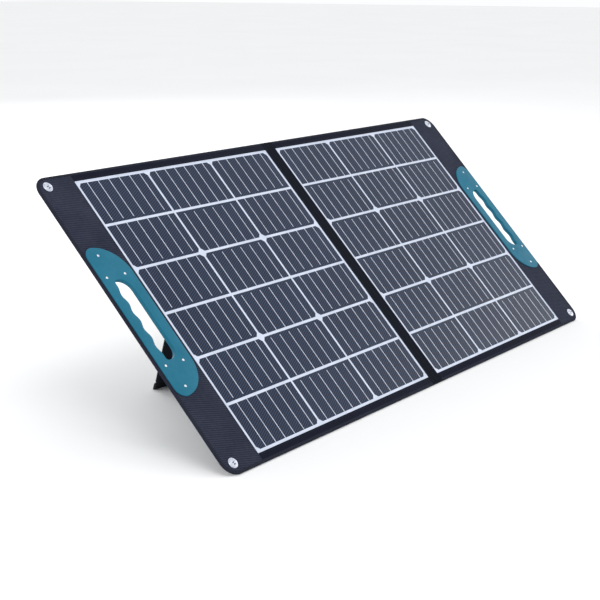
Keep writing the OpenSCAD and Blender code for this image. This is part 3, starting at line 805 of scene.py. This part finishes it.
HOLE_SHADE_R, HOLE_SHADE_Z = 1.9, (1.0, 2.2)       # painted shade: the dark disc at the bottom of a stud's hole


def snaps(side, node, profile):
    built = bmesh.new()
    places = islands(node)
    for x, y, z in places:
        lathe(built, (x, y), profile, 56)
    piece(f"{side}_snaps", from_bmesh(built), STEEL, f"{side}_half", [node], smooth=45)
    return places


def socket_faces(places):
    """The pressed face of each socket: two short slots, with a dark disc under them as painted shade."""
    rim = circle(FACE_R, 40)
    slots = [rounded_box_outline(x - SPRING_HALF_W, x + SPRING_HALF_W, *SPRING_Y, 0.7) for x in SPRING_X]
    slot_shade_outline = [(SLOT_SHADE_SHARE * u, SLOT_SHADE_SHARE * v) for u, v in rim]
    faces, slot_shade_discs = [], []
    for x, y, z in places:
        turn = Matrix.Translation((x, y, 0)) @ Matrix.Rotation(math.radians(SLOT_TURN), 4, "Z")
        for group, mesh in ((faces, plate_mesh([rim] + slots, FACE_LOW, FACE_Z, 0.15)),
                            (slot_shade_discs, plate_mesh([slot_shade_outline], *SLOT_SHADE_Z, 0.05))):
            mesh.transform(turn)
            group.append(mesh)
    piece("left_snap_faces", joined(*faces), STEEL, "left_half", smooth=40)
    # Painted shade: the dark discs under the sockets' slots.
    piece("left_snap_painted_shade", joined(*slot_shade_discs), DARK_PLASTIC_AND_SHADE, "left_half")


def stud_hole_shade(places):
    """Painted shade: a dark disc in the hole of each stud."""
    hole_shade_discs = []
    for x, y, z in places:
        mesh = plate_mesh([circle(HOLE_SHADE_R, 24)], *HOLE_SHADE_Z, 0.15)
        mesh.transform(Matrix.Translation((x, y, 0)))
        hole_shade_discs.append(mesh)
    # Painted shade: the dark discs in the studs' holes.
    piece("right_snap_hole_shade", joined(*hole_shade_discs), DARK_PLASTIC_AND_SHADE, "right_half")


# ---- kickstands ----

SEAM_INSET = 4.5                       # the sleeve's seam, from its edges
SEAM_CLEAR = 36                        # the inner seam stops this far from the hinge end


def kickstand(side):
    """The kickstand's sleeve, seams, board and foot, with its cloth hinge and its strap."""
    leg = f"{side}_leg"
    low, high = local_box(f"{side}_leg_cover", LEG[side])
    paint(NODES[f"{side}_leg_board"], BOARD)
    outline = rounded_box_outline(low.x, high.x, low.y, high.y, 4)
    piece(f"{side}_leg_sleeve", plate_mesh([outline], low.z - 0.05, high.z - 0.02, 0.9), LEG_CLOTH, leg,
          [f"{side}_leg_cover"], LEG[side])
    x0, x1 = low.x + SEAM_INSET, high.x - SEAM_INSET
    y0, y1 = low.y + SEAM_INSET, high.y - SEAM_INSET
    ring = rounded_box_outline(x0, x1, y0, y1, 3)
    ring.append(ring[0])
    stitches(f"{side}_leg_stitches_outer", [[(x, y, low.z - 0.07) for x, y in ring]], leg, -1, LEG[side])
    z = high.z - 0.02
    rows = [[(x, y, z) for y in (y0, high.y - SEAM_CLEAR)] for x in (x0, x1)]
    rows.append([(x, y0, z) for x in (x0, x1)])
    stitches(f"{side}_leg_stitches_inner", rows, leg, 1, LEG[side])
    softened(f"{side}_leg_foot", f"{side}_foot", RUBBER, leg, 0.7)
    hinge_cloth(side, low)
    strap(side, high)


def leg_point(side, y, z):
    """A point of the kickstand's frame as y and z of the panel frame."""
    point = PANEL.inverted() @ (LEG[side] @ Vector((0, y, z)))
    return point.y, point.z


def hinge_cloth(side, low):
    """Cloth that is sewn to the panel above the hinge and to the kickstand's outer face below it."""
    flap_low, flap_high = local_box(f"{side}_leg_hinge_flap")
    hinge_y = leg_point(side, 0, 0)[0]
    sheet_z = BACK_Z - 0.55
    path = smooth_path([(flap_high.y, sheet_z), (hinge_y + 14, sheet_z), (hinge_y + 4, sheet_z - 0.2),
                        leg_point(side, 1.5, low.z - 0.8), leg_point(side, -4, low.z - 0.55),
                        leg_point(side, -12, low.z - 0.5), leg_point(side, -20, low.z - 0.5)])
    cloth = piece(f"{side}_hinge_cloth", strip(path, flap_low.x, flap_high.x, 0.9), LEG_CLOTH, None,
                  [f"{side}_leg_hinge_flap"])
    rows = [[(x, y, sheet_z - 0.5) for x in (flap_low.x + 4, flap_high.x - 4)]
            for y in (flap_high.y - 4, flap_high.y - 9)]
    stitches(f"{side}_hinge_stitches", rows, f"{side}_half", -1)
    bend(cloth)


def bend(obj):
    """Bakes obj's placement into its mesh."""
    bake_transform(obj)


STRAP_T = 1.2
STRAP_END_Y = -215.0                   # where the strap meets the kickstand, from the hinge
STRAP_SAG = 2.5
STRAP_TAB = 24                         # length of the tab that is sewn to the panel
STRAP_LEG_TAB = 5, 28                  # where the tab on the kickstand starts and ends, from STRAP_END_Y
BOX_SEAM = 3, 20                       # where the crossed seam on a tab starts and ends
BOX_SHIFT = 7                          # the crossed seam on the kickstand, from STRAP_END_Y


def strap(side, high):
    """Webbing from the panel's back to the kickstand, pulled nearly straight, with a sewn tab at each end.
    It is in two lengths that meet at its middle: the upper one rides on the half, the lower one on the
    kickstand."""
    strap_low, strap_high = local_box(f"{side}_leg_strap")
    on_panel = BACK_Z - 0.75
    on_leg = high.z + 0.7
    tab_y = strap_low.y
    start = (tab_y + STRAP_TAB + 4, on_panel)
    end_y = STRAP_END_Y
    end = leg_point(side, end_y, on_leg + 0.6)
    run, rise = end[0] - start[0], end[1] - start[1]
    middle = [(start[0] + run * t, start[1] + rise * t - STRAP_SAG * 4 * t * (1 - t))
              for t in (0.08, 0.3, 0.5, 0.7, 0.92)]
    path = smooth_path([(tab_y, on_panel), (tab_y + STRAP_TAB, on_panel)] + middle
                       + [leg_point(side, end_y - y, on_leg) for y in STRAP_LEG_TAB])
    fold = min(range(len(path)), key=lambda i: math.dist(path[i], middle[2]))
    anchors = PANEL @ Vector((0, tab_y, BACK_Z)), LEG[side] @ Vector((0, end_y, high.z))
    axes = FRONT, LEG[side].col[2].to_3d().normalized()
    bodies = f"{side}_half", f"{side}_leg"
    parts = (("upper", path[:fold + 1]), ("lower", path[fold:]))
    for (part, points), body, axis, anchor in zip(parts, bodies, axes, anchors):
        webbing = strip(points, strap_low.x, strap_high.x, STRAP_T, 6)
        band = piece(f"{side}_strap_{part}", webbing, WEBBING, body, [f"{side}_leg_strap"])
        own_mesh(band)
    x0, x1 = strap_low.x + 3, strap_high.x - 3
    y0, y1 = BOX_SEAM
    box = [(x0, y0), (x1, y0), (x1, y1), (x0, y1), (x0, y0), (x1, y1)]
    stitches(f"{side}_strap_stitches", [[(x, tab_y + y, on_panel - 0.65) for x, y in box]],
             f"{side}_half", -1, pitch=3.4, length=2.6)
    centre = LEG[side].translation.x / MM
    leg_box = [(x - centre, end_y - BOX_SHIFT - y, on_leg + 0.65) for x, y in box]
    stitches(f"{side}_strap_leg_stitches", [leg_box], f"{side}_leg", 1, LEG[side], pitch=3.4, length=2.6)


# ---- back of the panel ----

PIN_R, PIN_LENGTH, PIN_INSET = 0.5, 8, 2.5  # the contact pin inside the DC socket


def junction_box():
    half = "left_half"
    softened("junction_box_base", "box_base", BOX_PLASTIC, half, 1.0)
    softened("junction_box_cover", "box_cover", BOX_PLASTIC, half, 0.8)
    softened("port_cover", "socket_flap", RUBBER, "port_cover", 0.35)
    paint(NODES["junction_box_screws"], STEEL)
    paint(NODES["junction_box_circuit"], CIRCUIT)
    paint(NODES["usb_sockets"], STEEL)
    paint(NODES["dc_socket"], DARK_PLASTIC_AND_SHADE)
    paint(NODES["status_lamp"], LAMP)
    low, high = local_box("dc_socket")
    built = bmesh.new()
    profile = [(0, 0), (0.9 * PIN_R, 0.05), (PIN_R, 0.5), (PIN_R, PIN_LENGTH), (0, PIN_LENGTH)]
    lathe(built, (0, 0), profile, 12)
    pin = from_bmesh(built)
    stand = Matrix.Translation(((low.x + high.x) / 2, low.y + PIN_INSET, (low.z + high.z) / 2))
    pin.transform(stand @ Matrix.Rotation(math.radians(-90), 4, "X"))
    piece("dc_pin", pin, STEEL, half)


def pocket():
    """The pocket's bag, filled out a little by a cloth simulation with its edges held."""
    low, high = local_box("pocket")
    nx, ny = 30, 38
    built = bmesh.new()
    layers = []
    for z in (high.z - 0.1, low.z + 0.3):
        layers.append([[built.verts.new((low.x + (high.x - low.x) * i / nx,
                                         low.y + (high.y - low.y) * j / ny, z))
                        for j in range(ny + 1)] for i in range(nx + 1)])
    for grid in layers:
        for i in range(nx):
            for j in range(ny):
                built.faces.new((grid[i][j], grid[i + 1][j], grid[i + 1][j + 1], grid[i][j + 1]))
    base, top = layers
    rim = ([(i, 0) for i in range(nx)] + [(nx, j) for j in range(ny)]
           + [(i, ny) for i in range(nx, 0, -1)] + [(0, j) for j in range(ny, 0, -1)])
    for (i, j), (k, m) in zip(rim, rim[1:] + rim[:1]):
        built.faces.new((base[i][j], base[k][m], top[k][m], top[i][j]))
    built.verts.index_update()
    free = [top[i][j].index for i in range(1, nx) for j in range(1, ny)]
    mesh = from_bmesh(built)
    bag = piece("pocket_bag", mesh, POCKET_CLOTH, None, ["pocket"], smooth=60)
    rest = [v.co.copy() for v in bag.data.vertices]
    puff(bag, free, rest)
    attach(bag, "right_half")
    inset = 3.5
    ring = rounded_box_outline(low.x + inset, high.x - inset, low.y + inset, high.y - inset, 2)
    rows = [[(x, y, low.z + 0.1) for x, y in ring + ring[:1]]]
    stitches("pocket_stitches", rows, "right_half", -1)


PUFF_CAP = 4.5                         # how far the bag may rise


def puff(bag, free, rest):
    """Cloth simulation of a held sheet under light pressure, with its travel capped."""
    held = bag.vertex_groups.new(name="held")
    held.add([i for i in range(len(rest)) if i not in set(free)], 1.0, "REPLACE")
    cloth = bag.modifiers.new("cloth", "CLOTH")
    cloth.settings.quality = 6
    cloth.settings.use_pressure = True
    cloth.settings.uniform_pressure_force = 2.0
    cloth.settings.vertex_group_mass = "held"
    cloth.settings.shrink_min = -0.02
    cloth.settings.effector_weights.gravity = 0
    cloth.collision_settings.use_self_collision = False
    scene = bpy.context.scene
    for step in range(1, 19):
        scene.frame_set(step)
    shape = bag.evaluated_get(bpy.context.evaluated_depsgraph_get()).to_mesh()
    settled = [v.co.copy() for v in shape.vertices]
    bag.modifiers.clear()
    scene.frame_set(1)
    cap = PUFF_CAP * MM
    inward = -FRONT
    for i in free:
        move = settled[i] - rest[i]
        out = max(0.0, min(cap, move.dot(inward)))
        bag.data.vertices[i].co = rest[i] + inward * out + (move - inward * move.dot(inward)) * 0.3


TOOTH_PITCH = 1.5
TOOTH_SIZE = 1.0, 3.0, 0.9
TOOTH_SHIFT = 0.9                      # each tooth's middle, from the zip's middle line


def zip_closure():
    low, high = local_box("zip_chain")
    middle = (low.y + high.y) / 2
    width = high.y - low.y + 10
    outline = rounded_box_outline(low.x - 2, high.x + 2, middle - width / 2, middle + width / 2, 1)
    tape = plate_mesh([outline], BACK_Z - 0.75, BACK_Z, 0.2)
    piece("zip_tape", tape, TAPE, "right_half")
    built = bmesh.new()
    for i in range(int((high.x - low.x) / TOOTH_PITCH)):
        shift = TOOTH_SHIFT if i % 2 else -TOOTH_SHIFT
        centre = Vector((low.x + TOOTH_PITCH * (i + 0.5), middle + shift, low.z + 0.35))
        for v in bmesh.ops.create_cube(built, size=1.0)["verts"]:
            v.co = centre + Vector([a * b for a, b in zip(v.co, TOOTH_SIZE)])
    teeth = piece("zip_teeth", from_bmesh(built), ZIP_NYLON, None, ["zip_chain"])
    round_edges(teeth, 0.28, 2)
    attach(teeth, "right_half")
    softened("zip_slider", "zip_pull", STEEL, "zip_slider", 0.3)


# ---- studio ----

def light(name, place, aim, size, power):
    data = bpy.data.lights.new(name, "AREA")
    data.shape = "DISK"
    data.size = size
    data.energy = power
    obj = bpy.data.objects.new(name, data)
    obj.location = place
    obj.rotation_euler = (Vector(aim) - Vector(place)).to_track_quat("-Z", "Y").to_euler()
    bpy.context.collection.objects.link(obj)


def studio():
    floor = bpy.data.meshes.new("floor")
    size = 30
    floor.from_pydata([(-size, -size, 0), (size, -size, 0), (size, size, 0), (-size, size, 0)], [],
                      [(0, 1, 2, 3)])
    ground = bpy.data.objects.new("floor", floor)
    look = Look("floor_paint", 0.9)
    look.colour(look.noise(800), (0.88, 0.88, 0.88), (0.9, 0.9, 0.9))
    bpy.context.collection.objects.link(ground)
    paint(ground, look.material)
    world = bpy.data.worlds.new("studio")
    world.use_nodes = True
    world.node_tree.nodes["Background"].inputs[0].default_value = (0.98, 0.99, 1.0, 1)
    world.node_tree.nodes["Background"].inputs[1].default_value = 1.0
    bpy.context.scene.world = world
    light("key", (-2.5, -3.0, 4.5), (0, 0, 0.2), 3.0, 90)
    light("sheen", (4.4, -1.8, 1.1), (0.3, 0, 0.2), 2.4, 19)
    light("rear", (1.8, 4.5, 2.6), (0, 0.2, 0.2), 3.0, 90)
    bpy.context.scene.view_settings.view_transform = "Standard"


CAMERA_PLACE = Vector((-2.1957, -1.2315, 0.7255))  # in metres, from the middle of the bottom edge
CAMERA_WAY = Vector((0.7989, 0.5592, -0.2215))
CAMERA_LENS = 85.6


def camera():
    """A long lens from the front left, just above the panel's top edge."""
    foot = PANEL @ Vector((0, 0, BACK_Z))
    data = bpy.data.cameras.new("camera")
    data.lens = CAMERA_LENS
    data.sensor_width = 36
    obj = bpy.data.objects.new("camera", data)
    obj.location = foot + CAMERA_PLACE
    obj.rotation_euler = CAMERA_WAY.to_track_quat("-Z", "Y").to_euler()
    bpy.context.collection.objects.link(obj)
    bpy.context.scene.camera = obj


camera()
studio()
for side, sign in SIDES:
    laminate(side, sign)
    cover(side, sign)
    cover_stitches(side, sign)
    handle(side, sign)
    rivets(side)
    kickstand(side)
spine()
socket_faces(snaps("left", "left_snap_sockets", SOCKET))
stud_hole_shade(snaps("right", "right_snap_studs", STUD))
junction_box()
pocket()
zip_closure()
